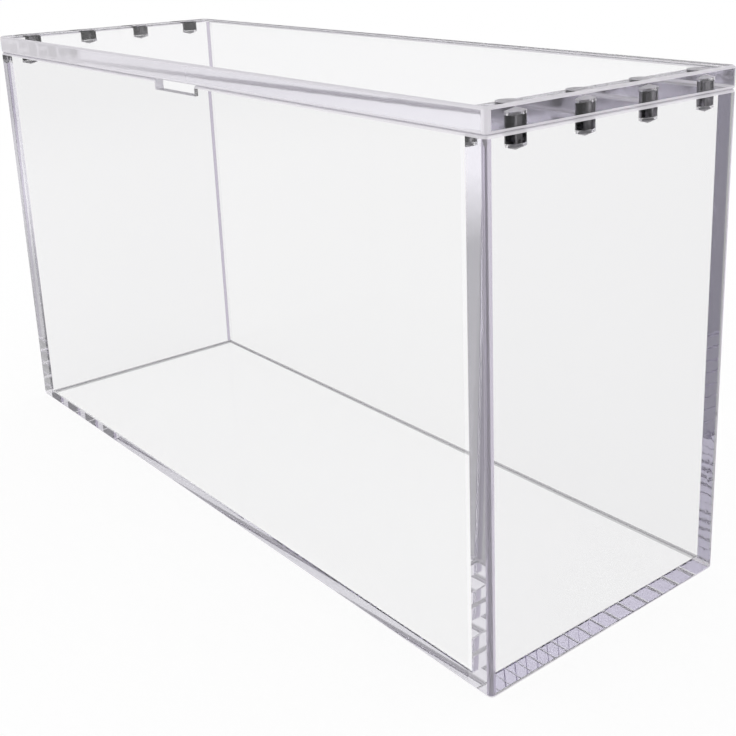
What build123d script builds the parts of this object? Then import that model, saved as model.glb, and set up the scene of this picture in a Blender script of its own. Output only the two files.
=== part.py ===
"""Trading card display case: a clear acrylic sheet box with a lift-off lid held by magnets.

Millimetres. +X runs along the case, from the left end to the right end, and +Y from the front to the rear.
+Z is up. The origin is on the surface that the case stands on, under the middle of its footprint.
The two thick end panels run the full depth and height. The thin front, rear and base panels are cemented
between them, edge to face, and the lid lies flush on the top edges of all four walls.
"""

import os
from math import radians, tan

from build123d import *

# ---------------------------------------------------------------- driving dimensions

# The case over its outside faces.
case_length = 260.0
case_depth = 87.5
wall_height = 136.5

# Sheet thicknesses. The end panels are thick because their top edges are drilled for magnets.
end_sheet = 8.0
front_sheet = 2.8
rear_sheet = 2.8
base_sheet = 2.8
lid_sheet = 6.0

# Edge finish: the upright corners are rounded, and the outer edges are rounded a little less and polished.
corner_radius = 1.5
edge_round = 0.75

# Finger notch in the top edge of the front panel, for getting a nail under the lid.
notch_width = 23.0
notch_depth = 3.0

# Disc magnets, in rows along the middle of each end panel's top edge, and facing them in the lid.
# The margin is from the front and rear faces to the middle of the first and the last magnet.
magnet_diameter = 6.0
magnet_length = 3.0
magnet_edge_break = 0.15
magnet_margin = 10.75
magnets_per_row = 4

# Blind pockets that the magnets are glued into, left with the cone of the drill at the closed end.
magnet_glue_gap = 0.1
magnet_recess = 0.1
pocket_air = 0.7
drill_point_angle = 150.0

# ---------------------------------------------------------------- derived places

half_length = case_length / 2
half_depth = case_depth / 2
inner_half_length = half_length - end_sheet
inner_length = case_length - 2 * end_sheet
front_inside = front_sheet - half_depth
rear_inside = half_depth - rear_sheet
inner_depth = rear_inside - front_inside
lid_top = wall_height + lid_sheet

magnet_radius = magnet_diameter / 2
pocket_radius = magnet_radius + magnet_glue_gap
pocket_straight = magnet_recess + magnet_length + pocket_air
pocket_point = pocket_radius / tan(radians(drill_point_angle / 2))
magnet_row_x = half_length - end_sheet / 2
magnet_pitch = (case_depth - 2 * magnet_margin) / (magnets_per_row - 1)
magnet_row_y = [magnet_margin - half_depth + i * magnet_pitch for i in range(magnets_per_row)]

SIDES = {"left": -1, "right": 1}
UP, DOWN = 1, -1


# ---------------------------------------------------------------- shapes


def sheet(low, high):
    """A flat piece of sheet between two opposite corners."""
    size = [b - a for a, b in zip(low, high)]
    return Pos(*low) * Box(*size, align=(Align.MIN, Align.MIN, Align.MIN))


def edges_between(solid, low, high):
    """The edges of a solid that lie wholly in a box, with a little room around it."""
    room = 1e-3
    found = []
    for edge in solid.edges():
        box = edge.bounding_box()
        inside_low = all(e > b - room for e, b in zip(box.min, low))
        inside_high = all(e < b + room for e, b in zip(box.max, high))
        if inside_low and inside_high:
            found.append(edge)
    return found


def pocket(direction):
    """A magnet pocket with its mouth at the origin, drilled along Z in the given direction."""
    from_mouth = (Align.CENTER, Align.CENTER, Align.MIN)
    bore = Cylinder(pocket_radius, pocket_straight, align=from_mouth)
    point = Cone(pocket_radius, 0, pocket_point, align=from_mouth)
    bit = bore + Pos(0, 0, pocket_straight) * point
    return bit if direction == UP else bit.mirror(Plane.XY)


def magnet(direction):
    """A disc magnet as it sits in a pocket whose mouth is at the origin."""
    middle = direction * (magnet_recess + magnet_length / 2)
    disc = Cylinder(magnet_radius, magnet_length)
    return Pos(0, 0, middle) * chamfer(disc.edges().filter_by(GeomType.CIRCLE), magnet_edge_break)


def row_places(side):
    """Where the magnets of one end lie, on the plane that the lid meets the walls on."""
    return [Pos(SIDES[side] * magnet_row_x, y, wall_height) for y in magnet_row_y]


# ---------------------------------------------------------------- panels


def end_panel(side):
    """Thick end panel, rounded down both outer corners, with magnet pockets in its top edge."""
    outer = SIDES[side] * half_length
    inner = SIDES[side] * inner_half_length
    x_low, x_high = sorted((outer, inner))
    panel = sheet((x_low, -half_depth, 0), (x_high, half_depth, wall_height))
    corners = edges_between(panel, (outer, -half_depth, 0), (outer, half_depth, wall_height))
    uprights = [e for e in corners if abs(e.tangent_at(0.5).Z) > 0.9]
    panel = fillet(uprights, corner_radius)
    outline = []
    for level in (0, wall_height):
        rim = edges_between(panel, (x_low, -half_depth, level), (x_high, half_depth, level))
        outline += [e for e in rim if abs(e.center().X - inner) > 1e-3]
    panel = fillet(outline, edge_round)
    for place in row_places(side):
        panel -= place * pocket(DOWN)
    return panel


def long_panel(outside, inside):
    """Thin wall between the end panels, with its outer top and bottom edges rounded."""
    y_low, y_high = sorted((outside, inside))
    panel = sheet((-inner_half_length, y_low, 0), (inner_half_length, y_high, wall_height))
    outline = []
    for level in (0, wall_height):
        low = (-inner_half_length, outside, level)
        high = (inner_half_length, outside, level)
        outline += edges_between(panel, low, high)
    return fillet(outline, edge_round)


def front_panel():
    """Front wall, with the finger notch in the middle of its top edge."""
    notch = sheet(
        (-notch_width / 2, -half_depth - 1, wall_height - notch_depth),
        (notch_width / 2, front_inside + 1, wall_height + 1),
    )
    return long_panel(-half_depth, front_inside) - notch


def base_panel():
    """Floor of the case, cemented between all four walls."""
    return sheet(
        (-inner_half_length, front_inside, 0),
        (inner_half_length, rear_inside, base_sheet),
    )


def lid_panel():
    """Flat lid, the full footprint of the case, with pockets that face the ones in the walls."""
    panel = sheet((-half_length, -half_depth, wall_height), (half_length, half_depth, lid_top))
    panel = fillet(panel.edges().filter_by(Axis.Z), corner_radius)
    rims = panel.faces().filter_by(Axis.Z).edges()
    panel = fillet(rims, edge_round)
    for side in SIDES:
        for place in row_places(side):
            panel -= place * pocket(UP)
    return panel


def magnets(owner, direction):
    """Every magnet of the case or the lid, one piece each, counted from the front."""
    made = {}
    for side in SIDES:
        for number, place in enumerate(row_places(side), start=1):
            made[f"{owner}_magnet_{side}_{number}"] = place * magnet(direction)
    return made


# ---------------------------------------------------------------- assembly

pieces = {
    "base_panel": base_panel(),
    "front_panel": front_panel(),
    "rear_panel": long_panel(half_depth, rear_inside),
    "left_end_panel": end_panel("left"),
    "right_end_panel": end_panel("right"),
    "lid_panel": lid_panel(),
    **magnets("case", DOWN),
    **magnets("lid", UP),
}

os.makedirs("parts", exist_ok=True)
for name, piece in pieces.items():
    export_step(piece, f"parts/{name}.step")

print(f"{len(pieces)} pieces")
print(f"outside {case_length:g} x {case_depth:g} x {lid_top:g} mm")
print(f"inside {inner_length:g} x {inner_depth:g} x {wall_height - base_sheet:g} mm")
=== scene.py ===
"""Finish for a trading card display case: clear acrylic panels, glued-in magnets and a studio.

Lengths are in metres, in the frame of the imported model: +X runs along the case, +Y to its rear and +Z up.
"""

import math

import bmesh
import bpy
from mathutils import Matrix, Vector


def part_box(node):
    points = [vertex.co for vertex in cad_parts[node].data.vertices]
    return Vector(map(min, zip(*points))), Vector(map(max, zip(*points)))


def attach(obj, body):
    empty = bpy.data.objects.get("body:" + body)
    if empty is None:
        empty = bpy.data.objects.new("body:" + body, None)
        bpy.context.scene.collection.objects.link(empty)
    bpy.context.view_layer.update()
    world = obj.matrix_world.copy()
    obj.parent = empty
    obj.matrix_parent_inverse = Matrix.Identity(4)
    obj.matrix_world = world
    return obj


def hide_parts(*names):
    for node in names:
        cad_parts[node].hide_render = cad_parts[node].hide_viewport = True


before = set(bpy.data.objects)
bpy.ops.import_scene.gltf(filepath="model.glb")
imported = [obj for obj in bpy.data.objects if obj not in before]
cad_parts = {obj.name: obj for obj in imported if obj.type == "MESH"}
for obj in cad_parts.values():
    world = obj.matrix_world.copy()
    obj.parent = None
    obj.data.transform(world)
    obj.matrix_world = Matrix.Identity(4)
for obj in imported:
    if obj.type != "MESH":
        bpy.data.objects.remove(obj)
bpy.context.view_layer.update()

bl_info = {
    "name": "Card display case finish",
    "version": (1, 0, 0),
    "blender": (4, 5, 0),
    "location": "3D View > Sidebar > Card Case",
    "description": "Clear acrylic panels, disc magnets and a studio for a trading card display case",
    "category": "Object",
}

MM = 0.001

# How each face of a panel was finished. The codes are kept on the mesh, and the acrylic reads them.
FINISHES = 13
SHEET, EDGE, CUT, RIM, CORNER, FOOT, JOINT, BEAD, BORE, DRILL_POINT, GLUED, MILLED, COVER = range(FINISHES)
FINISH = "finish"
CURVED = (RIM, CORNER, BEAD, BORE, DRILL_POINT, GLUED)
SMOOTH_ANGLE = math.radians(35)

# Places closer than this are the same, and a face with this much of its normal along an axis is square to it.
SAME_PLACE = 0.001 * MM
SQUARE_ON = 0.99

POCKET_SEGMENTS = 64
DISC_SEGMENTS = 48
DISC_EDGE_STEPS = 4
POCKET_OVERSHOOT = 0.5 * MM
NOTCH_OVERSHOOT = 1.0 * MM

# Light crosses many faces inside the sheets, and the joints between them are clear.
LIGHT_BOUNCES = 160
CLEAR_BOUNCES = 64

# Width of the camera's sensor in millimetres, and how close to the camera things are still drawn.
SENSOR_WIDTH = 36.0
NEAREST_DRAWN = 10 * MM

PANEL_SLOT = "clear_acrylic"
SIDES = {"left": -1, "right": 1}


def node_box(name):
    """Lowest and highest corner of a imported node."""
    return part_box(name)


def case_sizes():
    """The panels' planes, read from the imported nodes."""
    _, lid_high = node_box("lid_panel")
    end_low, end_high = node_box("right_end_panel")
    _, front_high = node_box("front_panel")
    rear_low, rear_high = node_box("rear_panel")
    _, base_high = node_box("base_panel")
    return {
        "half_length": end_high.x,
        "inner_half_length": end_low.x,
        "half_depth": rear_high.y,
        "front_inside": front_high.y,
        "rear_inside": rear_low.y,
        "base_top": base_high.z,
        "wall_top": end_high.z,
        "lid_top": lid_high.z,
    }


SIZES = case_sizes()


# ---------------------------------------------------------------- settings


class CardCaseAcrylic(bpy.types.PropertyGroup):
    """What the clear sheet looks like."""

    sheet: bpy.props.FloatVectorProperty(
        name="Sheet", description="What the sheet's own faces let by",
        subtype="COLOR", size=3, min=0, max=1, default=(0.972, 0.972, 0.972),
    )
    edge: bpy.props.FloatVectorProperty(
        name="Cut edge", description="What a cut and polished edge lets by",
        subtype="COLOR", size=3, min=0, max=1, default=(0.965, 0.96, 0.97),
    )
    # Painted shade: a rounded rim lets by a little less than the sheet, standing in for the darker room seen
    # through its curve.
    rim: bpy.props.FloatVectorProperty(
        name="Rounded rim", description="What a rounded rim lets by",
        subtype="COLOR", size=3, min=0, max=1, default=(0.90, 0.88, 0.92),
    )
    # Painted shade: the dark lavender that an upright rounded corner lets by stands in for the dark room that
    # the corner refracts.
    corner: bpy.props.FloatVectorProperty(
        name="Rounded corner", description="What an upright rounded corner lets by",
        subtype="COLOR", size=3, min=0, max=1, default=(0.36, 0.31, 0.44),
    )
    # Painted shade: the grey that the walls' undersides let by darkens the floor seen under them, in place of
    # their contact shadow.
    foot: bpy.props.FloatVectorProperty(
        name="Foot", description="What the walls' underside lets by, where it was cut and not polished",
        subtype="COLOR", size=3, min=0, max=1, default=(0.50, 0.50, 0.505),
    )
    bead: bpy.props.FloatVectorProperty(
        name="Cement bead", description="What the bead of cement round the floor lets by",
        subtype="COLOR", size=3, min=0, max=1, default=(0.34, 0.34, 0.345),
    )
    coated: bpy.props.FloatProperty(
        name="Glare cut", description="How much of their glare the flat faces lose",
        subtype="FACTOR", min=0, max=1, default=0.9,
    )
    # The frost's haze is also the painted sheen on the lid's cut edges seen aslant, and a darker copy of it
    # is painted shade on rims seen from inside.
    frost: bpy.props.FloatVectorProperty(
        name="Frost", description="Colour of the haze on rims, corners, cement and cut faces",
        subtype="COLOR", size=3, min=0, max=1, default=(0.79, 0.77, 0.81),
    )
    tint: bpy.props.FloatVectorProperty(
        name="Edge tint", description="Colour that light takes on along the sheet",
        subtype="COLOR", size=3, min=0, max=1, default=(0.905, 0.8975, 0.926),
    )
    tint_depth: bpy.props.FloatProperty(
        name="Tint depth", description="How fast light takes on the edge tint, per metre",
        min=0, default=20.0,
    )
    bend: bpy.props.FloatProperty(
        name="Refractive index", description="Refractive index of cast acrylic",
        min=1, max=2, default=1.49,
    )
    cut_roughness: bpy.props.FloatProperty(
        name="Lid edge roughness", description="Roughness of the lid's flame-polished edges",
        subtype="FACTOR", min=0, max=1, default=0.06,
    )
    bore_roughness: bpy.props.FloatProperty(
        name="Bore roughness", description="Roughness of the drilled walls",
        subtype="FACTOR", min=0, max=1, default=0.10,
    )
    milled_roughness: bpy.props.FloatProperty(
        name="Milled roughness", description="Roughness of the finger notch",
        subtype="FACTOR", min=0, max=1, default=0.40,
    )
    ripple: bpy.props.FloatProperty(
        name="Edge ripple", description="Height of the faint waves that polishing leaves on an edge",
        subtype="DISTANCE", unit="LENGTH", min=0, precision=6, default=0.02 * MM,
    )


class CardCasePanels(bpy.types.PropertyGroup):
    """Edge work on the panels."""

    corner_radius: bpy.props.FloatProperty(
        name="Corner radius", description="Rounding of the upright outer corners",
        subtype="DISTANCE", unit="LENGTH", min=0, default=1.5 * MM,
    )
    rim_radius: bpy.props.FloatProperty(
        name="Rim radius", description="Rounding of the outer rims",
        subtype="DISTANCE", unit="LENGTH", min=0, default=0.75 * MM,
    )
    notch_width: bpy.props.FloatProperty(
        name="Notch width", description="Width of the finger notch in the front panel",
        subtype="DISTANCE", unit="LENGTH", min=0, default=23.0 * MM,
    )
    notch_depth: bpy.props.FloatProperty(
        name="Notch depth", description="Depth of the finger notch below the wall's top edge",
        subtype="DISTANCE", unit="LENGTH", min=0, default=3.0 * MM,
    )
    seat_gap: bpy.props.FloatProperty(
        name="Air under the lid", description="Film of air between the lid and the walls it rests on",
        subtype="DISTANCE", unit="LENGTH", min=0, default=0.05 * MM,
    )
    bead: bpy.props.FloatProperty(
        name="Cement bead", description="Radius of the bead of cement round the floor",
        subtype="DISTANCE", unit="LENGTH", min=0, default=0.6 * MM,
    )
    cement_line: bpy.props.FloatProperty(
        name="Cement line", description="Thickness of the clear cement in a joint",
        subtype="DISTANCE", unit="LENGTH", min=0, precision=6, default=0.004 * MM,
    )
    corner_steps: bpy.props.IntProperty(
        name="Corner steps", description="Facets round an upright corner", min=1, default=16,
    )
    rim_steps: bpy.props.IntProperty(
        name="Rim steps", description="Facets across a rounded rim", min=1, default=6,
    )


class CardCaseMagnets(bpy.types.PropertyGroup):
    """The disc magnets and the pockets they are glued into."""

    diameter: bpy.props.FloatProperty(
        name="Magnet diameter", description="Diameter of one disc magnet",
        subtype="DISTANCE", unit="LENGTH", min=0, default=6.0 * MM,
    )
    length: bpy.props.FloatProperty(
        name="Magnet length", description="Thickness of one disc magnet",
        subtype="DISTANCE", unit="LENGTH", min=0, default=3.0 * MM,
    )
    edge_break: bpy.props.FloatProperty(
        name="Magnet edge", description="Rounding of the magnet's rims",
        subtype="DISTANCE", unit="LENGTH", min=0, default=0.15 * MM,
    )
    pitch: bpy.props.FloatProperty(
        name="Pitch", description="Distance from one magnet of a row to the next",
        subtype="DISTANCE", unit="LENGTH", min=0, default=22.0 * MM,
    )
    per_row: bpy.props.IntProperty(
        name="Magnets in a row", description="Magnets at each end of the case", min=1, default=4,
    )
    recess: bpy.props.FloatProperty(
        name="Recess", description="How far a magnet sits below the face it is glued into",
        subtype="DISTANCE", unit="LENGTH", min=0, default=0.1 * MM,
    )
    pocket_radius: bpy.props.FloatProperty(
        name="Pocket radius", description="Radius of the drilled pocket",
        subtype="DISTANCE", unit="LENGTH", min=0, default=3.1 * MM,
    )
    pocket_straight: bpy.props.FloatProperty(
        name="Pocket depth", description="Straight part of the pocket",
        subtype="DISTANCE", unit="LENGTH", min=0, default=3.8 * MM,
    )
    drill_angle: bpy.props.FloatProperty(
        name="Drill point", description="Full angle of the drill's point",
        subtype="ANGLE", unit="ROTATION", default=math.radians(150),
    )


class CardCaseStudio(bpy.types.PropertyGroup):
    """Floor, light and camera."""

    pale: bpy.props.FloatVectorProperty(
        name="Background", description="Colour of the floor and what is behind it",
        subtype="COLOR", size=3, min=0, max=1, default=(1.0, 1.0, 1.0),
    )
    floor_glow: bpy.props.FloatProperty(
        name="Floor evenness", description="Share of the floor that shows no shadow",
        subtype="FACTOR", min=0, max=1, default=0.9,
    )
    room: bpy.props.FloatProperty(
        name="Room", description="Brightness of the room beside the backdrop and the soft box",
        min=0, max=1, default=0.45,
    )
    backdrop: bpy.props.FloatProperty(
        name="Backdrop", description="Brightness of the lit backdrop behind the case",
        min=0, max=2, default=1.05,
    )
    backdrop_bearing: bpy.props.FloatProperty(
        name="Backdrop bearing", description="Direction of the backdrop's middle, turned from the X axis",
        subtype="ANGLE", unit="ROTATION", default=math.radians(143),
    )
    backdrop_edge: bpy.props.FloatVectorProperty(
        name="Backdrop edge", description="Cosine off its middle at which the backdrop starts and is full",
        size=2, default=(0.35, 0.80),
    )
    fill: bpy.props.FloatProperty(
        name="Fill card", description="Brightness of the low card on the left",
        min=0, max=2, default=1.5,
    )
    fill_bearing: bpy.props.FloatProperty(
        name="Fill card bearing", description="Direction of the low card, turned from the X axis",
        subtype="ANGLE", unit="ROTATION", default=math.radians(205),
    )
    fill_edge: bpy.props.FloatVectorProperty(
        name="Fill card edge", description="Cosine off its middle at which the low card starts and is full",
        size=2, default=(0.82, 0.95),
    )
    high: bpy.props.FloatProperty(
        name="High card", description="Brightness of the raised card behind on the left",
        min=0, max=2, default=1.15,
    )
    high_bearing: bpy.props.FloatProperty(
        name="High card bearing", description="Direction of the raised card, turned from the X axis",
        subtype="ANGLE", unit="ROTATION", default=math.radians(234),
    )
    high_edge: bpy.props.FloatVectorProperty(
        name="High card edge",
        description="Cosine off its middle at which the raised card starts and is full",
        size=2, default=(0.70, 0.95),
    )
    side: bpy.props.FloatProperty(
        name="Side card", description="Brightness of the card on the right",
        min=0, max=1, default=0.73,
    )
    side_bearing: bpy.props.FloatProperty(
        name="Side card bearing", description="Direction of the card on the right, turned from the X axis",
        subtype="ANGLE", unit="ROTATION", default=math.radians(36),
    )
    side_edge: bpy.props.FloatVectorProperty(
        name="Side card edge", description="Cosine off its middle at which the side card starts and is full",
        size=2, default=(0.60, 0.85),
    )
    dark: bpy.props.FloatProperty(
        name="Dark side", description="Share of the room's light that is left in front of the case",
        subtype="FACTOR", min=0, max=1, default=0.1,
    )
    window: bpy.props.FloatProperty(
        name="Window", description="Brightness of the window in the middle of the dark side",
        min=0, max=1, default=0.7,
    )
    window_edge: bpy.props.FloatVectorProperty(
        name="Window edge", description="Cosine off its middle at which the window starts and is full",
        size=2, default=(0.90, 0.97),
    )
    dark_bearing: bpy.props.FloatProperty(
        name="Dark side bearing", description="Direction of the room's dark side, turned from the X axis",
        subtype="ANGLE", unit="ROTATION", default=math.radians(325),
    )
    dark_edge: bpy.props.FloatVectorProperty(
        name="Dark side edge", description="Cosine off its middle at which the dark side starts and is full",
        size=2, default=(0.30, 0.80),
    )
    soft_box: bpy.props.FloatProperty(
        name="Soft box", description="Brightness of the soft box overhead",
        min=0, max=1, default=0.85,
    )
    soft_box_edge: bpy.props.FloatVectorProperty(
        name="Soft box edge", description="Height, as a sine, at which the soft box starts and is full",
        size=2, default=(0.30, 0.55),
    )
    camera_place: bpy.props.FloatVectorProperty(
        name="Camera", description="Where the camera stands",
        subtype="TRANSLATION", unit="LENGTH", size=3, default=(0.3005, -0.2063, 0.1797),
    )
    camera_aim: bpy.props.FloatVectorProperty(
        name="Aim", description="Point that the camera looks at",
        subtype="TRANSLATION", unit="LENGTH", size=3, default=(0.0215, 0.0258, 0.0711),
    )
    camera_roll: bpy.props.FloatProperty(
        name="Roll", description="Turn of the camera about its line of sight",
        subtype="ANGLE", unit="ROTATION", default=math.radians(-1.67),
    )
    camera_lens: bpy.props.FloatProperty(
        name="Lens", description="Focal length in millimetres", min=1, default=56.53,
    )
    camera_shift: bpy.props.FloatVectorProperty(
        name="Shift", description="Shift of the picture, as a share of its width",
        size=2, default=(-0.06, -0.14),
    )


SETTINGS = {
    "card_case_acrylic": CardCaseAcrylic,
    "card_case_panels": CardCasePanels,
    "card_case_magnets": CardCaseMagnets,
    "card_case_studio": CardCaseStudio,
}


# ---------------------------------------------------------------- shader helpers


class Shader:
    """A node tree being written: shorthand for adding nodes and joining them."""

    def __init__(self, tree):
        self.tree = tree
        tree.nodes.clear()

    def add(self, kind, inputs=None, **settings):
        """A new node with these settings, and each input set to a value or joined to a socket."""
        node = self.tree.nodes.new(kind)
        for name, value in settings.items():
            setattr(node, name, value)
        for key, value in (inputs or {}).items():
            socket = node.inputs[key]
            if isinstance(value, bpy.types.NodeSocket):
                self.tree.links.new(value, socket)
            else:
                socket.default_value = value
        return node

    def math(self, operation, *values):
        """The result of a sum on values or sockets."""
        return self.add("ShaderNodeMath", dict(enumerate(values)), operation=operation).outputs[0]

    def ramped(self, value, start, end):
        """0 below the start and 1 past the end, with a soft step between."""
        return self.add(
            "ShaderNodeMapRange", {"Value": value, "From Min": start, "From Max": end},
            interpolation_type="SMOOTHSTEP",
        ).outputs["Result"]

    def scaled(self, value, low, high):
        """A 0 to 1 value brought to another range."""
        return self.add(
            "ShaderNodeMapRange", {"Value": value, "To Min": low, "To Max": high}
        ).outputs["Result"]


def blank_material(name):
    """A material with nothing in it yet, and the shader to write it with."""
    material = bpy.data.materials.new(name)
    material.use_nodes = True
    return material, Shader(material.node_tree)


def clear_acrylic(settings):
    """Cast acrylic: clear through its flat faces, polished on its edges and hazy where it was cut, with
    painted shade in what its rims, upright corners and wall undersides let by.
    """
    material, made = blank_material("polished_acrylic")
    place = made.add("ShaderNodeTexCoord").outputs["Object"]
    finish = made.add("ShaderNodeAttribute", attribute_name=FINISH).outputs["Fac"]

    def by_finish(levels):
        """A value that each finish sets, and 0 for the rest."""
        total = 0.0
        for code, level in levels.items():
            here = made.math("COMPARE", finish, float(code), 0.25)
            total = made.math("MULTIPLY_ADD", here, level, total)
        return total

    def waves(scale, detail):
        """Soft noise over the piece, from 0 to 1."""
        noise = made.add("ShaderNodeTexNoise", {"Vector": place, "Scale": scale, "Detail": detail})
        return noise.outputs["Fac"]

    grain_scale, ring_scale, ripple_scale = 1500.0, 900.0, 160.0
    grain = waves(grain_scale, 2.0)
    polished, rounded = made.scaled(grain, 0.0, 0.02), made.scaled(grain, 0.02, 0.10)
    rings = made.add("ShaderNodeTexWave", {"Vector": place, "Scale": ring_scale, "Distortion": 1.0},
                     bands_direction="Z").outputs["Fac"]
    roughness = by_finish({
        EDGE: polished, CUT: settings.cut_roughness, RIM: rounded, CORNER: rounded,
        BORE: settings.bore_roughness, DRILL_POINT: settings.bore_roughness,
        MILLED: settings.milled_roughness,
    })
    rippled = by_finish({EDGE: 1.0, CUT: 1.0, RIM: 1.5, CORNER: 1.5})
    ripple = made.math("MULTIPLY", waves(ripple_scale, 1.0), rippled)
    cutter = made.math("MULTIPLY", rings, by_finish({BORE: 0.3, DRILL_POINT: 0.3, MILLED: 0.3}))
    bump = made.add("ShaderNodeBump", {
        "Strength": 1.0, "Distance": settings.ripple, "Height": made.math("ADD", ripple, cutter),
    })

    colour = made.add("ShaderNodeValToRGB", {"Fac": made.math("DIVIDE", finish, float(FINISHES))})
    colour.color_ramp.interpolation = "CONSTANT"
    # A finish that is not listed takes the colour of the one before it. The rim, corner and foot colours are
    # painted shade, darker than the clear sheet.
    passes = {
        SHEET: settings.sheet, EDGE: settings.edge, RIM: settings.rim, CORNER: settings.corner,
        FOOT: settings.foot, JOINT: settings.sheet, BEAD: settings.bead, BORE: settings.sheet,
        COVER: (1.0, 1.0, 1.0),
    }
    for code, value in passes.items():
        start = max(0.0, (code - 0.5) / FINISHES)
        stop = colour.color_ramp.elements[0] if code == SHEET else colour.color_ramp.elements.new(start)
        stop.position, stop.color = start, (*value, 1.0)
    colour.color_ramp.elements.remove(colour.color_ramp.elements[-1])

    glass = made.add("ShaderNodeBsdfPrincipled", {
        "Base Color": colour.outputs["Color"],
        "Roughness": roughness,
        "IOR": settings.bend,
        "Transmission Weight": 1.0,
        "Normal": bump.outputs[0],
    })
    bent = made.add("ShaderNodeBsdfRefraction", {
        "Color": colour.outputs["Color"], "Roughness": 0.0, "IOR": settings.bend,
    })
    shine = made.add("ShaderNodeFresnel", {"IOR": settings.bend}).outputs[0]
    # Glare is cut where a flat face would mirror less than its share here, for light not mirrored before.
    straight = made.math("LESS_THAN", shine, by_finish({SHEET: 0.3, COVER: 0.99}))
    passing = made.math("MULTIPLY", straight, made.math("SUBTRACT", 1.0, mirrored_ray(made)))
    clear = made.add("ShaderNodeMixShader", {
        0: made.math("MULTIPLY", passing, settings.coated),
        1: glass.outputs[0], 2: bent.outputs[0],
    })
    # Painted shade: rims, corners and the cement bead seen from inside the sheet take a darker copy of their
    # haze.
    haze, haze_through_shaded = settings.frost, settings.frost * 0.82
    behind = made.add("ShaderNodeNewGeometry").outputs["Backfacing"]
    frost = made.add("ShaderNodeMixShader", {
        0: made.math("MULTIPLY", behind, by_finish({RIM: 1.0, CORNER: 1.0, BEAD: 1.0})),
        1: made.add("ShaderNodeBsdfDiffuse", {"Color": (*haze, 1.0)}).outputs[0],
        2: made.add("ShaderNodeBsdfTranslucent", {"Color": (*haze_through_shaded, 1.0)}).outputs[0],
    })
    # Painted sheen: a cut edge is clear seen square on, and seen aslant takes a pale diffuse haze that
    # brightens it.
    aslant = made.add("ShaderNodeLayerWeight", {"Blend": 0.5}).outputs["Facing"]
    sheen = made.math("MULTIPLY", made.ramped(aslant, 0.42, 0.66), 0.8)
    frosted = made.add("ShaderNodeMixShader", {
        0: by_finish({
            CUT: sheen, RIM: 0.75, CORNER: 0.24, BEAD: 0.3, BORE: 0.15, DRILL_POINT: 0.8, MILLED: 0.35,
        }),
        1: clear.outputs[0], 2: frost.outputs[0],
    })
    surface = made.add("ShaderNodeMixShader", {
        0: by_finish({JOINT: 1.0, GLUED: 1.0}), 1: frosted.outputs[0],
        2: made.add("ShaderNodeBsdfTransparent").outputs[0],
    })
    depth = made.add("ShaderNodeVolumeAbsorption", {
        "Color": (*settings.tint, 1.0), "Density": settings.tint_depth,
    })
    made.add("ShaderNodeOutputMaterial", {"Surface": surface.outputs[0], "Volume": depth.outputs[0]})
    return material


def magnet_plating():
    """Bright nickel over sintered metal, painted near black with pale stripes down the side as a painted
    reflection of a dark room with light bands; the same noise sets the roughness.
    """
    material, made = blank_material("bright_plating")
    place = made.add("ShaderNodeTexCoord").outputs["Object"]
    reflection_streaks = made.add("ShaderNodeTexNoise", {
        "Vector": made.add("ShaderNodeMapping", {"Vector": place, "Scale": (420, 420, 20)}).outputs[0],
        "Scale": 1.0, "Detail": 2.0,
    }).outputs["Fac"]
    colour = made.add("ShaderNodeValToRGB", {"Fac": reflection_streaks})
    ramp = colour.color_ramp
    # Painted reflection: near-black and pale grey metal colours stand in for the dark room and light bands
    # the magnet mirrors.
    dark, bright = (0.015, 0.015, 0.018, 1), (0.30, 0.29, 0.31, 1)
    ramp.elements[0].position, ramp.elements[0].color = 0.42, dark
    ramp.elements[1].position, ramp.elements[1].color = 0.60, bright
    metal = made.add("ShaderNodeBsdfPrincipled", {
        "Base Color": colour.outputs[0], "Metallic": 1.0, "Roughness": made.scaled(reflection_streaks, 0.12, 0.26),
    })
    made.add("ShaderNodeOutputMaterial", {"Surface": metal.outputs[0]})
    return material


def mirrored_ray(made):
    """1 for light that was mirrored on its way, and 0 for what is seen directly or straight through."""
    glossy = made.add("ShaderNodeLightPath").outputs["Glossy Depth"]
    return made.math("GREATER_THAN", glossy, 0.5)


def floor_paint(settings):
    """White sweep: it keeps a light shadow, and leaves what the acrylic mirrors to the room round it."""
    material, made = blank_material("white_sweep")
    matt = made.add("ShaderNodeBsdfDiffuse", {"Color": (*settings.pale, 1.0)})
    even = made.add("ShaderNodeEmission", {"Color": (*settings.pale, 1.0), "Strength": 1.0})
    sweep = made.add("ShaderNodeMixShader", {
        0: settings.floor_glow, 1: matt.outputs[0], 2: even.outputs[0],
    })
    away = made.add("ShaderNodeBsdfTransparent")
    both = made.add("ShaderNodeMixShader", {
        0: mirrored_ray(made), 1: sweep.outputs[0], 2: away.outputs[0],
    })
    made.add("ShaderNodeOutputMaterial", {"Surface": both.outputs[0]})
    return material


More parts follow.
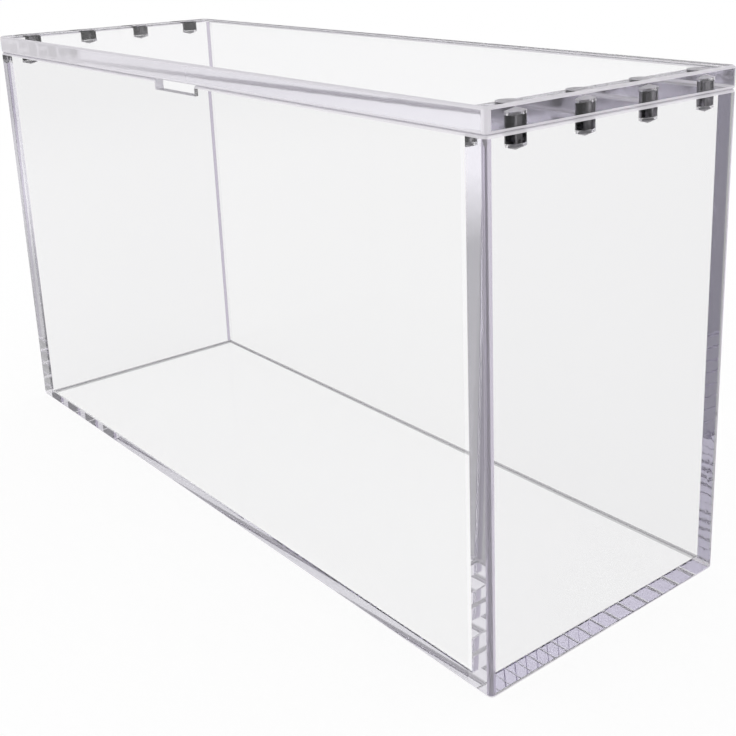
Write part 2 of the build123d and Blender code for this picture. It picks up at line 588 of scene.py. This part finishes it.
def room_light(world, settings):
    """White behind the case, a soft box overhead, and a dimmer room all round for its edges to pick up.

    Heights are sines: -1 is straight down, 0 is level and 1 is straight up.
    """
    world.use_nodes = True
    made = Shader(world.node_tree)
    toward = made.add("ShaderNodeTexCoord").outputs["Generated"]
    height = made.add("ShaderNodeSeparateXYZ", {0: toward}).outputs["Z"]
    level = made.add("ShaderNodeVectorMath", {
        0: made.add("ShaderNodeVectorMath", {0: toward, 1: (1, 1, 0)}, operation="MULTIPLY").outputs[0],
    }, operation="NORMALIZE").outputs[0]

    def card(bearing, edge, lit=1.0):
        """0 away from an upright card in the room, and towards it how lit it is at each height."""
        middle = (math.cos(bearing), math.sin(bearing), 0)
        facing = made.add("ShaderNodeVectorMath", {0: level, 1: middle}, operation="DOT_PRODUCT")
        return made.math("MULTIPLY", made.ramped(facing.outputs["Value"], *edge), lit)

    levels = made.add("ShaderNodeValToRGB", {"Fac": made.math("MULTIPLY_ADD", height, 0.5, 0.5)})
    ramp = levels.color_ramp
    for sine, share in ((-0.27, 0.45), (-0.21, 1.0), (0.15, 1.0), (0.35, 0.82)):
        stop = ramp.elements.new((sine + 1) / 2)
        stop.color = (share, share, share, 1)
    ramp.elements.remove(ramp.elements[0])
    ramp.elements.remove(ramp.elements[-1])
    low = made.ramped(height, -0.10, -0.20)
    raised = made.ramped(height, 0.38, 0.55)
    near_level = made.ramped(made.math("ABSOLUTE", height), 0.40, 0.15)
    lights = (
        (settings.fill, card(settings.fill_bearing, settings.fill_edge, low)),
        (settings.high, card(settings.high_bearing, settings.high_edge, raised)),
        (settings.side, card(settings.side_bearing, settings.side_edge, near_level)),
        (settings.window, card(settings.dark_bearing, settings.window_edge)),
        (settings.backdrop,
         card(settings.backdrop_bearing, settings.backdrop_edge, levels.outputs["Color"])),
        (settings.soft_box, made.ramped(height, *settings.soft_box_edge)),
    )
    clutter = made.add("ShaderNodeTexNoise", {"Vector": toward, "Scale": 2.2, "Detail": 1.0}).outputs["Fac"]
    uneven = 0.25 * settings.room
    room = made.scaled(clutter, settings.room - uneven, settings.room + uneven)
    dark = made.scaled(card(settings.dark_bearing, settings.dark_edge), 1.0, settings.dark)
    mirrored = made.math("MULTIPLY", room, dark)
    for brightness, shape in lights:
        mirrored = made.math("MAXIMUM", mirrored, made.math("MULTIPLY", shape, brightness))
    shown = made.add("ShaderNodeMix", {0: mirrored_ray(made), 2: 1.0, 3: mirrored}).outputs[0]
    light = made.add("ShaderNodeBackground", {"Color": (*settings.pale, 1.0), "Strength": shown})
    made.add("ShaderNodeOutputWorld", {"Surface": light.outputs[0]})


# ---------------------------------------------------------------- mesh helpers


def quarter_turn(steps, start=0.0):
    """Angles round a quarter turn, counter-clockwise from the start angle, with both ends."""
    return [start + i * math.pi / 2 / steps for i in range(steps + 1)]


def arc(centre, radius, start, steps):
    """Points round a quarter turn, counter-clockwise from the start angle."""
    return [
        Vector((centre[0] + radius * math.cos(turn), centre[1] + radius * math.sin(turn)))
        for turn in quarter_turn(steps, start)
    ]


def outline(low, high, radii, steps, side=EDGE, bend=CORNER):
    """A rectangle's outline with its own radius at each corner, counter-clockwise from (low, low).

    Gives the points, and for each side that starts at a point the finish it gets.
    """
    corners = (
        (low[0], low[1], 1, 1, math.pi), (high[0], low[1], -1, 1, 1.5 * math.pi),
        (high[0], high[1], -1, -1, 0.0), (low[0], high[1], 1, -1, 0.5 * math.pi),
    )
    points, finishes = [], []
    for (x, y, inward_x, inward_y, start), radius in zip(corners, radii):
        if radius > 0:
            points += arc((x + inward_x * radius, y + inward_y * radius), radius, start, steps)
            finishes += [bend] * steps + [side]
        else:
            points.append(Vector((x, y)))
            finishes.append(side)
    return points, finishes


def rim_stack(bottom, top, radius, steps):
    """Heights and insets of the rings that round both rims of a slab, and which bands lie in the rims."""
    lower = [
        (bottom + radius * (1 - math.cos(turn)), radius * (1 - math.sin(turn)))
        for turn in quarter_turn(steps)
    ]
    upper = [(bottom + top - z, inset) for z, inset in reversed(lower)]
    bands = (*range(steps), *range(steps + 1, 2 * steps + 1))
    return lower + upper, bands


def placed(name, data):
    """A new object in the scene, at the origin."""
    thing = bpy.data.objects.new(name, data)
    bpy.context.scene.collection.objects.link(thing)
    return thing


def solid(name, shape):
    """A new object from a closed shape, with its faces turned outward."""
    bmesh.ops.recalc_face_normals(shape, faces=shape.faces)
    mesh = bpy.data.meshes.new(name)
    shape.to_mesh(mesh)
    shape.free()
    return placed(name, mesh)


def skin(name, rings, finishes, cap_finish, rim_bands=()):
    """A closed solid over rings of points, which all have the same count. The two end rings are capped.

    The bands between rings that rim_bands lists are rounded rims, where a side is an edge or a corner.
    """
    shape = bmesh.new()
    layer = shape.faces.layers.float.new(FINISH)
    corners = [[shape.verts.new(p) for p in ring] for ring in rings]
    count = len(rings[0])
    for band, (lower, upper) in enumerate(zip(corners, corners[1:])):
        for i in range(count):
            j = (i + 1) % count
            face = shape.faces.new((lower[i], lower[j], upper[j], upper[i]))
            face[layer] = RIM if band in rim_bands and finishes[i] in (EDGE, CUT, CORNER) else finishes[i]
    for ring in (corners[0][::-1], corners[-1]):
        shape.faces.new(ring)[layer] = cap_finish
    return solid(name, shape)


def refinish(thing, cuts, rule):
    """Splits a mesh along planes, each an axis and a place, and gives faces the finish the rule names."""
    shape = bmesh.new()
    shape.from_mesh(thing.data)
    layer = shape.faces.layers.float[FINISH]
    for axis, place in cuts:
        normal = Vector([1.0 if i == axis else 0.0 for i in range(3)])
        bmesh.ops.bisect_plane(
            shape, geom=shape.verts[:] + shape.edges[:] + shape.faces[:],
            dist=SAME_PLACE / 10, plane_co=normal * place, plane_no=normal,
        )
    for face in shape.faces:
        found = rule(face.calc_center_median(), face.normal)
        if found is not None:
            face[layer] = found
    shape.to_mesh(thing.data)
    shape.free()


def set_shading(thing):
    """Smooth along a curved finish, and sharp everywhere else, so that no flat face takes a bent normal."""
    shape = bmesh.new()
    shape.from_mesh(thing.data)
    layer = shape.faces.layers.float[FINISH]
    for face in shape.faces:
        face.smooth = True
    for edge in shape.edges:
        faces = edge.link_faces
        codes = {round(face[layer]) for face in faces}
        edge.smooth = (
            len(faces) == 2 and len(codes) == 1 and codes.pop() in CURVED
            and faces[0].normal.angle(faces[1].normal, 0) < SMOOTH_ANGLE
        )
    shape.to_mesh(thing.data)
    shape.free()


def lathe(name, profile, segments):
    """A closed solid turned round the Z axis from (radius, height) points that start and end on it."""
    shape = bmesh.new()
    rings = []
    for radius, height in profile:
        count = 1 if radius == 0 else segments
        turns = [2 * math.pi * i / segments for i in range(count)]
        rings.append([
            shape.verts.new((radius * math.cos(turn), radius * math.sin(turn), height)) for turn in turns
        ])
    for lower, upper in zip(rings, rings[1:]):
        for i in range(segments):
            j = (i + 1) % segments
            # A ring on the axis is a single point, which the face then holds once.
            corners = dict.fromkeys((
                lower[i % len(lower)], lower[j % len(lower)], upper[j % len(upper)], upper[i % len(upper)],
            ))
            shape.faces.new(list(corners))
    return solid(name, shape)


def apply_modifiers(thing):
    """Leaves what the modifiers make of a piece as its plain mesh."""
    bpy.context.view_layer.update()
    evaluated = thing.evaluated_get(bpy.context.evaluated_depsgraph_get())
    mesh = bpy.data.meshes.new_from_object(evaluated)
    mesh.name = thing.name
    thing.modifiers.clear()
    thing.data = mesh


def settle(thing, body, slot, *nodes):
    """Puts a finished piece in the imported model's place for those nodes."""
    set_shading(thing)
    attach(thing, body)
    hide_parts(*nodes)


# ---------------------------------------------------------------- geometry nodes


def new_tree(name, inputs):
    """A geometry tree with the named inputs, each (name, socket type)."""
    tree = bpy.data.node_groups.new(name, "GeometryNodeTree")
    tree.interface.new_socket("Geometry", in_out="OUTPUT", socket_type="NodeSocketGeometry")
    tree.interface.new_socket("Geometry", in_out="INPUT", socket_type="NodeSocketGeometry")
    for label, kind in inputs:
        tree.interface.new_socket(label, in_out="INPUT", socket_type=kind)
    return tree


ROW_INPUTS = (
    ("Tool", "NodeSocketObject"),
    ("Rows apart", "NodeSocketFloat"),
    ("Pitch", "NodeSocketFloat"),
    ("Magnets in a row", "NodeSocketInt"),
    ("Height", "NodeSocketFloat"),
    ("Material", "NodeSocketMaterial"),
)


def tools_in_rows(made, inputs):
    """The tool set out in two rows, one over each end wall."""
    spaces = made.math("SUBTRACT", inputs["Magnets in a row"], 1.0)
    rows = made.add("GeometryNodeMeshGrid", {
        "Size X": inputs["Rows apart"], "Size Y": made.math("MULTIPLY", inputs["Pitch"], spaces),
        "Vertices X": 2, "Vertices Y": inputs["Magnets in a row"],
    })
    height = made.add("ShaderNodeCombineXYZ", {"Z": inputs["Height"]})
    lifted = made.add("GeometryNodeSetPosition", {
        "Geometry": rows.outputs["Mesh"], "Offset": height.outputs[0],
    })
    tool = made.add("GeometryNodeObjectInfo", {"Object": inputs["Tool"]})
    return made.add("GeometryNodeInstanceOnPoints", {
        "Points": lifted.outputs[0], "Instance": tool.outputs["Geometry"],
    }).outputs[0]


def give_painted(made, geometry, inputs):
    """Makes the geometry, in its material, what the tree gives."""
    painted = made.add("GeometryNodeSetMaterial", {
        "Geometry": geometry, "Material": inputs["Material"],
    })
    made.add("NodeGroupOutput", {0: painted.outputs[0]})


def placed_rows_tree():
    """Sets the tool out in rows and gives it its material."""
    tree = new_tree("magnet rows", ROW_INPUTS)
    made = Shader(tree)
    inputs = made.add("NodeGroupInput").outputs
    real = made.add("GeometryNodeRealizeInstances", {"Geometry": tools_in_rows(made, inputs)})
    give_painted(made, real.outputs[0], inputs)
    return tree


def drilled_rows_tree():
    """Cuts the tool out of a panel in rows."""
    tree = new_tree("drilled rows", ROW_INPUTS)
    made = Shader(tree)
    inputs = made.add("NodeGroupInput").outputs
    real = made.add("GeometryNodeRealizeInstances", {"Geometry": tools_in_rows(made, inputs)})
    cut = made.add("GeometryNodeMeshBoolean", {
        "Mesh 1": inputs["Geometry"], "Mesh 2": real.outputs[0],
    }, operation="DIFFERENCE", solver="EXACT")
    real_cut = made.add("GeometryNodeRealizeInstances", {"Geometry": cut.outputs["Mesh"]})
    give_painted(made, real_cut.outputs[0], inputs)
    return tree


def run_tree(thing, tree, values):
    """Runs a geometry tree on a piece with these named inputs, and leaves its result as a plain mesh."""
    modifier = thing.modifiers.new("rows", "NODES")
    modifier.node_group = tree
    sockets = {s.name: s.identifier for s in tree.interface.items_tree if s.in_out == "INPUT"}
    for label, value in values.items():
        modifier[sockets[label]] = value
    thing.update_tag()
    apply_modifiers(thing)


def row_values(settings, tool, height, material):
    """The named inputs that put a tool where the magnets go."""
    wall_middle = (SIZES["half_length"] + SIZES["inner_half_length"]) / 2
    return {
        "Tool": tool, "Rows apart": 2 * wall_middle, "Pitch": settings.pitch,
        "Magnets in a row": settings.per_row, "Height": height, "Material": material,
    }


def pocket_tool(settings, direction):
    """The drill's shape, with its mouth at the origin and its point up or down.

    The pocket's wall is glued beside the magnet and bare past it.
    """
    radius, depth = settings.pocket_radius, settings.pocket_straight
    point = radius / math.tan(settings.drill_angle / 2)
    magnet_end = settings.recess + settings.length
    profile = [
        (0, -POCKET_OVERSHOOT), (radius, -POCKET_OVERSHOOT), (radius, magnet_end),
        (radius, depth), (0, depth + point),
    ]
    tool = lathe("pocket_tool", [(r, direction * z) for r, z in profile], POCKET_SEGMENTS)
    codes = tool.data.attributes.new(FINISH, "FLOAT", "FACE")
    for face, code in zip(tool.data.polygons, codes.data):
        away = direction * face.center.z
        if away > depth:
            code.value = DRILL_POINT
        else:
            code.value = BORE if away > magnet_end else GLUED
    return tool


def drill(thing, settings, direction, height):
    """Drills the magnet pockets into a panel."""
    tool = pocket_tool(settings, direction)
    run_tree(thing, drilled_rows_tree(), row_values(settings, tool, height, acrylic()))
    bpy.data.objects.remove(tool)


# ---------------------------------------------------------------- operators


def material_named(name, make):
    """The material of that name, made on first use."""
    return bpy.data.materials.get(name) or make()


def acrylic():
    """The panels' material."""
    return material_named("polished_acrylic", lambda: clear_acrylic(bpy.context.scene.card_case_acrylic))


class CARDCASE_OT_end_panels(bpy.types.Operator):
    """Make the two thick end walls, rounded at their outer corners and drilled for magnets"""

    bl_idname = "card_case.end_panels"
    bl_label = "End walls"

    def execute(self, context):
        panels, magnets = context.scene.card_case_panels, context.scene.card_case_magnets
        for name, side in SIDES.items():
            self.make(f"{name}_end_panel", side, panels, magnets)
        return {"FINISHED"}

    def make(self, node, side, panels, magnets):
        inner, outer = side * SIZES["inner_half_length"], side * SIZES["half_length"]
        half_depth, top = SIZES["half_depth"], SIZES["wall_top"]
        stack, bands = rim_stack(0, top, panels.rim_radius, panels.rim_steps)
        rings = []
        for z, inset in stack:
            low = (inner, -half_depth + inset) if side > 0 else (outer + inset, -half_depth + inset)
            high = (outer - inset, half_depth - inset) if side > 0 else (inner, half_depth - inset)
            rounding = panels.corner_radius - inset
            radii = (0, rounding, rounding, 0) if side > 0 else (rounding, 0, 0, rounding)
            points, finishes = outline(low, high, radii, panels.corner_steps)
            rings.append([Vector((p.x, p.y, z)) for p in points])
        wall = skin(f"{node}_acrylic", rings, finishes, EDGE, bands)

        def rule(centre, normal):
            """The underside, the sheet's two faces, and on the inner one what the other panels cover."""
            if normal.z < -SQUARE_ON and centre.z < SAME_PLACE:
                return FOOT
            if abs(normal.x) > SQUARE_ON and abs(centre.x - outer) < SAME_PLACE:
                return SHEET
            if abs(centre.x - inner) > SAME_PLACE:
                return None
            if centre.y < SIZES["front_inside"] or centre.y > SIZES["rear_inside"]:
                return JOINT
            return JOINT if centre.z < SIZES["base_top"] else SHEET

        cuts = ((1, SIZES["front_inside"]), (1, SIZES["rear_inside"]), (2, SIZES["base_top"]))
        refinish(wall, cuts, rule)
        drill(wall, magnets, -1, top)
        settle(wall, "case", PANEL_SLOT, node)


class CARDCASE_OT_long_panels(bpy.types.Operator):
    """Make the thin front and rear walls, with the finger notch in the front one"""

    bl_idname = "card_case.long_panels"
    bl_label = "Front and rear walls"

    def execute(self, context):
        panels = context.scene.card_case_panels
        self.make("front_panel", -SIZES["half_depth"], SIZES["front_inside"], panels, True)
        self.make("rear_panel", SIZES["half_depth"], SIZES["rear_inside"], panels, False)
        return {"FINISHED"}

    def make(self, node, outside, inside, panels, notched):
        reach = SIZES["inner_half_length"] - panels.cement_line
        inward = 1 if inside > outside else -1
        stack, bands = rim_stack(0, SIZES["wall_top"], panels.rim_radius, panels.rim_steps)
        section = [(inside, 0)]
        section += [(outside + inward * inset, z) for z, inset in stack]
        section += [(inside, SIZES["wall_top"])]
        outside_bands = [RIM if band in bands else SHEET for band in range(len(stack) - 1)]
        finishes = [FOOT, *outside_bands, EDGE, SHEET]
        rings = [[Vector((x, y, z)) for y, z in section] for x in (-reach, reach)]
        wall = skin(f"{node}_acrylic", rings, finishes, JOINT)

        def rule(centre, normal):
            """What the base covers of the inner face."""
            at_inside = abs(centre.y - inside) < SAME_PLACE
            return JOINT if at_inside and centre.z < SIZES["base_top"] else None

        refinish(wall, ((2, SIZES["base_top"]),), rule)
        if notched:
            self.notch(wall, panels, outside, inside)
        wall.data.materials.clear()
        wall.data.materials.append(acrylic())
        settle(wall, "case", PANEL_SLOT, node)

    def notch(self, wall, panels, outside, inside):
        """Mills the finger notch out of the wall's top edge."""
        half, top, past = panels.notch_width / 2, SIZES["wall_top"], NOTCH_OVERSHOOT
        floor = top - panels.notch_depth
        section = [(-half, floor), (half, floor), (half, top + past), (-half, top + past)]
        rings = [[Vector((x, y, z)) for x, z in section] for y in (outside - past, inside + past)]
        tool = skin("notch_tool", rings, [MILLED] * 4, MILLED)
        cut = wall.modifiers.new("notch", "BOOLEAN")
        cut.operation, cut.solver, cut.object = "DIFFERENCE", "EXACT", tool
        apply_modifiers(wall)
        bpy.data.objects.remove(tool)


class CARDCASE_OT_base_panel(bpy.types.Operator):
    """Make the floor of the case, cemented between the walls"""

    bl_idname = "card_case.base_panel"
    bl_label = "Base"

    def execute(self, context):
        panels = context.scene.card_case_panels
        line, bead, top = panels.cement_line, panels.bead, SIZES["base_top"]
        stack = [(0, 0), (top, 0)]
        stack += [
            (top + bead + bead * math.sin(turn), bead + bead * math.cos(turn))
            for turn in quarter_turn(panels.rim_steps, math.pi)
        ]
        rings = []
        for z, inset in stack:
            reach = SIZES["inner_half_length"] - line - inset
            low = (-reach, SIZES["front_inside"] + line + inset)
            high = (reach, SIZES["rear_inside"] - line - inset)
            points, finishes = outline(low, high, (0, 0, 0, 0), panels.corner_steps, JOINT)
            rings.append([Vector((p.x, p.y, z)) for p in points])
        base = skin("base_panel_acrylic", rings, finishes, COVER)

        def rule(centre, normal):
            """The curved top of the cement bead, and no other face."""
            faces_up = normal.z > 1 - SQUARE_ON
            return BEAD if centre.z > top + SAME_PLACE and faces_up else None

        refinish(base, (), rule)
        base.data.materials.append(acrylic())
        settle(base, "case", PANEL_SLOT, "base_panel")
        return {"FINISHED"}


class CARDCASE_OT_lid_panel(bpy.types.Operator):
    """Make the lid, rounded to match the walls and drilled from below for its magnets"""

    bl_idname = "card_case.lid_panel"
    bl_label = "Lid"

    def execute(self, context):
        panels, magnets = context.scene.card_case_panels, context.scene.card_case_magnets
        bottom, top = SIZES["wall_top"] + panels.seat_gap, SIZES["lid_top"]
        stack, bands = rim_stack(bottom, top, panels.rim_radius, panels.rim_steps)
        rings = []
        for z, inset in stack:
            low = (-SIZES["half_length"] + inset, -SIZES["half_depth"] + inset)
            high = (SIZES["half_length"] - inset, SIZES["half_depth"] - inset)
            radii = [panels.corner_radius - inset] * 4
            points, finishes = outline(low, high, radii, panels.corner_steps, CUT, RIM)
            rings.append([Vector((p.x, p.y, z)) for p in points])
        lid = skin("lid_panel_acrylic", rings, finishes, COVER, bands)
        drill(lid, magnets, 1, SIZES["wall_top"])
        settle(lid, "lid", PANEL_SLOT, "lid_panel")
        return {"FINISHED"}


class CARDCASE_OT_magnets(bpy.types.Operator):
    """Make the disc magnets in the end walls and the lid"""

    bl_idname = "card_case.magnets"
    bl_label = "Magnets"

    def execute(self, context):
        magnets = context.scene.card_case_magnets
        plating = material_named("bright_plating", magnet_plating)
        for body, direction in (("case", -1), ("lid", 1)):
            disc = self.disc(magnets, direction)
            rows = placed(f"{body}_magnets", bpy.data.meshes.new(f"{body}_magnets"))
            run_tree(rows, placed_rows_tree(), row_values(magnets, disc, SIZES["wall_top"], plating))
            bpy.data.objects.remove(disc)
            nodes = [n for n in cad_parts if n.startswith(f"{body}_magnet_")]
            for polygon in rows.data.polygons:
                polygon.use_smooth = True
            rows.data.set_sharp_from_angle(angle=SMOOTH_ANGLE)
            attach(rows, body)
            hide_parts(*nodes)
        return {"FINISHED"}

    def disc(self, magnets, direction):
        """One magnet as it sits in a pocket whose mouth is at the origin."""
        near = magnets.recess
        far = near + magnets.length
        radius, edge = magnets.diameter / 2, magnets.edge_break
        turns = quarter_turn(DISC_EDGE_STEPS)
        profile = [(0, near)]
        middle = radius - edge
        profile += [(middle + edge * math.sin(t), near + edge - edge * math.cos(t)) for t in turns]
        profile += [(middle + edge * math.cos(t), far - edge + edge * math.sin(t)) for t in turns]
        profile += [(0, far)]
        return lathe("disc_tool", [(r, direction * z) for r, z in profile], DISC_SEGMENTS)


class CARDCASE_OT_stage(bpy.types.Operator):
    """Make the white sweep, the soft light and the camera"""

    bl_idname = "card_case.stage"
    bl_label = "Studio"

    def execute(self, context):
        studio = context.scene.card_case_studio
        self.floor(studio)
        self.sky(context, studio)
        self.camera(context, studio)
        cycles = context.scene.cycles
        cycles.max_bounces = LIGHT_BOUNCES
        cycles.glossy_bounces = LIGHT_BOUNCES
        cycles.transmission_bounces = LIGHT_BOUNCES
        cycles.transparent_max_bounces = CLEAR_BOUNCES
        context.scene.view_settings.view_transform = "Standard"
        return {"FINISHED"}

    def floor(self, studio):
        """The sweep, just under the case."""
        half, below = 4.0, -0.02 * MM
        mesh = bpy.data.meshes.new("sweep")
        corners = [(-half, -half, below), (half, -half, below), (half, half, below), (-half, half, below)]
        mesh.from_pydata(corners, [], [(0, 1, 2, 3)])
        sweep = placed("sweep", mesh)
        sweep.data.materials.append(floor_paint(studio))

    def sky(self, context, studio):
        """The room's light."""
        context.scene.world = bpy.data.worlds.new("white_room")
        room_light(context.scene.world, studio)

    def camera(self, context, studio):
        """The camera, turned to its aim and then rolled."""
        data = bpy.data.cameras.new("camera")
        data.sensor_width = SENSOR_WIDTH
        data.lens = studio.camera_lens
        data.shift_x, data.shift_y = studio.camera_shift
        data.clip_start = NEAREST_DRAWN
        camera = placed("camera", data)
        place, aim = Vector(studio.camera_place), Vector(studio.camera_aim)
        turn = (aim - place).to_track_quat("-Z", "Y").to_matrix()
        roll = Matrix.Rotation(studio.camera_roll, 3, "Z")
        camera.matrix_world = Matrix.Translation(place) @ (turn @ roll).to_4x4()
        context.scene.camera = camera


OPERATORS = (
    CARDCASE_OT_base_panel,
    CARDCASE_OT_end_panels,
    CARDCASE_OT_long_panels,
    CARDCASE_OT_lid_panel,
    CARDCASE_OT_magnets,
    CARDCASE_OT_stage,
)


class CARDCASE_PT_sidebar(bpy.types.Panel):
    """Settings and steps of the card display case"""

    bl_idname = "CARDCASE_PT_sidebar"
    bl_label = "Card display case"
    bl_space_type = "VIEW_3D"
    bl_region_type = "UI"
    bl_category = "Card Case"

    def draw(self, context):
        for name, group in SETTINGS.items():
            box = self.layout.box()
            settings = getattr(context.scene, name)
            for field in group.__annotations__:
                box.prop(settings, field)
        for operator in OPERATORS:
            self.layout.operator(operator.bl_idname)


CLASSES = (*SETTINGS.values(), *OPERATORS, CARDCASE_PT_sidebar)


def register():
    for part in CLASSES:
        bpy.utils.register_class(part)
    for name, group in SETTINGS.items():
        setattr(bpy.types.Scene, name, bpy.props.PointerProperty(type=group))


def unregister():
    for name in SETTINGS:
        delattr(bpy.types.Scene, name)
    for part in reversed(CLASSES):
        bpy.utils.unregister_class(part)


def main():
    register()
    bpy.ops.card_case.base_panel()
    bpy.ops.card_case.end_panels()
    bpy.ops.card_case.long_panels()
    bpy.ops.card_case.lid_panel()
    bpy.ops.card_case.magnets()
    bpy.ops.card_case.stage()


if __name__ == "__main__":
    main()
